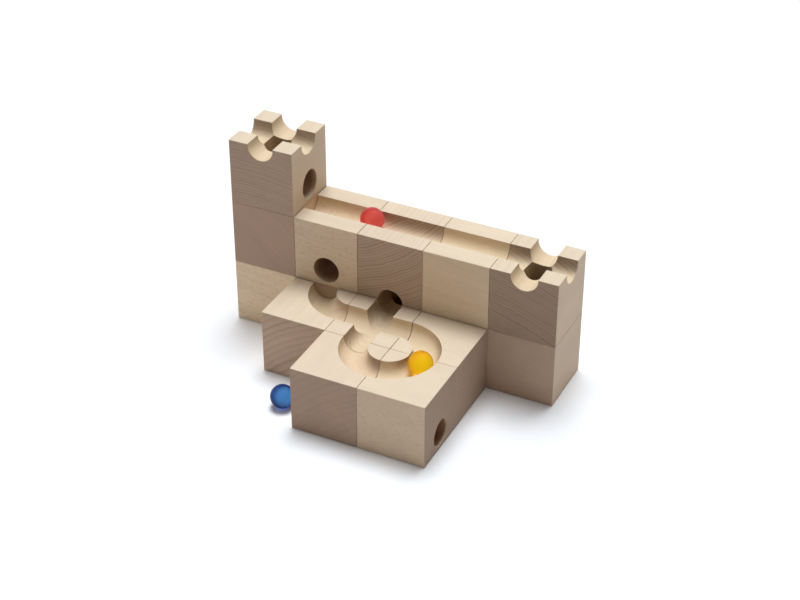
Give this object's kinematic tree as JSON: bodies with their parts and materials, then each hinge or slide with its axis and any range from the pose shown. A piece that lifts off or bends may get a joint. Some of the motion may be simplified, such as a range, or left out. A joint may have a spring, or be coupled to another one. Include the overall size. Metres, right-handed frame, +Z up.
{
  "type": "marble run block set",
  "caption": "Wooden marble run of loose stacked cubes: a grooved wall between two towers, a floor with a round track, tunnels through the cubes, and coloured balls that roll along it.",
  "frame": {"origin": "bottom centre of the whole set's box, on the table, under the crossing block", "axes": "+X along the wall from the start tower to the end tower, +Y from the round track towards the wall, +Z up"},
  "size_m": [0.2512, 0.1506, 0.15],
  "materials": {
    "beech": "fine sanded, unlacquered",
    "red_ball": "coloured through, satin",
    "yellow_ball": "coloured through, satin",
    "blue_ball": "coloured through, satin"
  },
  "bodies": {
    "tower_base_block": {"tower_base_block": "beech"},
    "tower_middle_block": {"tower_middle_block": "beech"},
    "tower_start_block": {"tower_start_block": "beech"},
    "wall_support_block": {"wall_support_block": "beech"},
    "catch_block": {"catch_block": "beech"},
    "corner_tunnel_block": {"corner_tunnel_block": "beech"},
    "end_tower_base_block": {"end_tower_base_block": "beech"},
    "tunnel_channel_block": {"tunnel_channel_block": "beech"},
    "bridge_channel_block": {"bridge_channel_block": "beech"},
    "plain_channel_block": {"plain_channel_block": "beech"},
    "end_tower_drop_block": {"end_tower_drop_block": "beech"},
    "entry_curve_block": {"entry_curve_block": "beech"},
    "crossing_block": {"crossing_block": "beech"},
    "circle_back_right_block": {"circle_back_right_block": "beech"},
    "circle_front_left_block": {"circle_front_left_block": "beech"},
    "circle_front_right_block": {"circle_front_right_block": "beech"},
    "red_ball": {"red_ball": "red_ball"},
    "yellow_ball": {"yellow_ball": "yellow_ball"},
    "blue_ball": {"blue_ball": "blue_ball"}
  },
  "joints": [
    {"name": "tower_base_lift", "type": "slide", "parent": "catch_block", "child": "tower_base_block", "axis": [0, 0, 1], "range_m": [0, 0.06]},
    {"name": "tower_middle_lift", "type": "slide", "parent": "tower_base_block", "child": "tower_middle_block", "axis": [0, 0, 1], "range_m": [0, 0.06]},
    {"name": "tower_start_lift", "type": "slide", "parent": "tower_middle_block", "child": "tower_start_block", "axis": [0, 0, 1], "range_m": [0, 0.06]},
    {"name": "wall_support_lift", "type": "slide", "parent": "catch_block", "child": "wall_support_block", "axis": [0, 0, 1], "range_m": [0, 0.06]},
    {"name": "tunnel_channel_lift", "type": "slide", "parent": "wall_support_block", "child": "tunnel_channel_block", "axis": [0, 0, 1], "range_m": [0, 0.06]},
    {"name": "bridge_channel_lift", "type": "slide", "parent": "tunnel_channel_block", "child": "bridge_channel_block", "axis": [0, 0, 1], "range_m": [0, 0.06]},
    {"name": "corner_tunnel_lift", "type": "slide", "parent": "catch_block", "child": "corner_tunnel_block", "axis": [0, 0, 1], "range_m": [0, 0.06]},
    {"name": "plain_channel_lift", "type": "slide", "parent": "corner_tunnel_block", "child": "plain_channel_block", "axis": [0, 0, 1], "range_m": [0, 0.06]},
    {"name": "end_tower_base_lift", "type": "slide", "parent": "catch_block", "child": "end_tower_base_block", "axis": [0, 0, 1], "range_m": [0, 0.06]},
    {"name": "end_tower_drop_lift", "type": "slide", "parent": "end_tower_base_block", "child": "end_tower_drop_block", "axis": [0, 0, 1], "range_m": [0, 0.06]},
    {"name": "entry_curve_lift", "type": "slide", "parent": "catch_block", "child": "entry_curve_block", "axis": [0, 0, 1], "range_m": [0, 0.06]},
    {"name": "crossing_lift", "type": "slide", "parent": "catch_block", "child": "crossing_block", "axis": [0, 0, 1], "range_m": [0, 0.06]},
    {"name": "circle_back_right_lift", "type": "slide", "parent": "catch_block", "child": "circle_back_right_block", "axis": [0, 0, 1], "range_m": [0, 0.06]},
    {"name": "circle_front_right_lift", "type": "slide", "parent": "circle_back_right_block", "child": "circle_front_right_block", "axis": [0, 0, 1], "range_m": [0, 0.06]},
    {"name": "circle_front_left_lift", "type": "slide", "parent": "catch_block", "child": "circle_front_left_block", "axis": [0, 0, 1], "range_m": [0, 0.06]},
    {"name": "red_ball_roll", "type": "slide", "parent": "bridge_channel_block", "child": "red_ball", "axis": [1, 0, 0], "range_m": [-0.04, 0.1155]},
    {"name": "yellow_ball_roll", "type": "hinge", "parent": "circle_front_right_block", "child": "yellow_ball", "pos_m": [0.02515, -0.02515, 0.0479], "axis": [0, 0, 1], "range_deg": [-171.9, 98.1]},
    {"name": "blue_ball_roll", "type": "slide", "parent": "catch_block", "child": "blue_ball", "axis": [-1, 0, 0], "range_m": [-0.0079, 0.06]}
  ]
}
